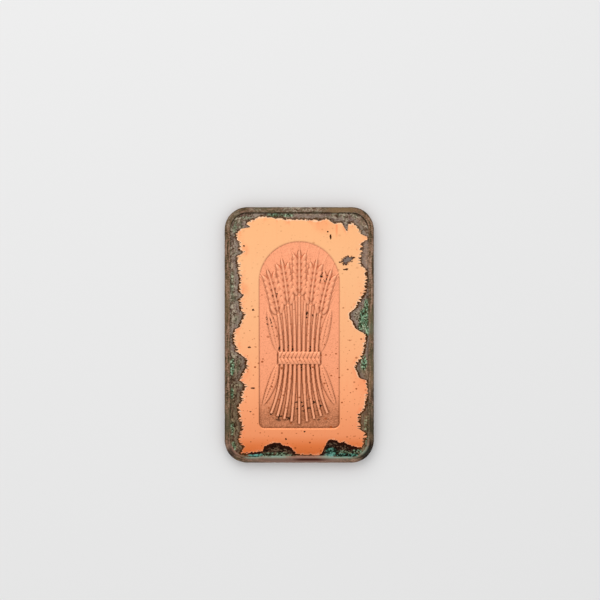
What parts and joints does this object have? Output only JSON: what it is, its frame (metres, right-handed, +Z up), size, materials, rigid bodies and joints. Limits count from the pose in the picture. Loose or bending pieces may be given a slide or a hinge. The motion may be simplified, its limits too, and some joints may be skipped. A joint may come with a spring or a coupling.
{
  "type": "copper ingot",
  "caption": "Flat struck copper bar with rounded corners, a raised rim and a sheaf in low relief on its face; a small piece of metal stock.",
  "frame": {"origin": "centre of the plain back face, which the bar lies on", "axes": "+Y along the bar towards the top of the relief, +Z up out of the struck face"},
  "size_m": [0.0292, 0.05, 0.0025],
  "materials": {
    "copper": "satin copper with patina"
  },
  "bodies": {
    "root": {"ingot": "copper"}
  },
  "joints": []
}
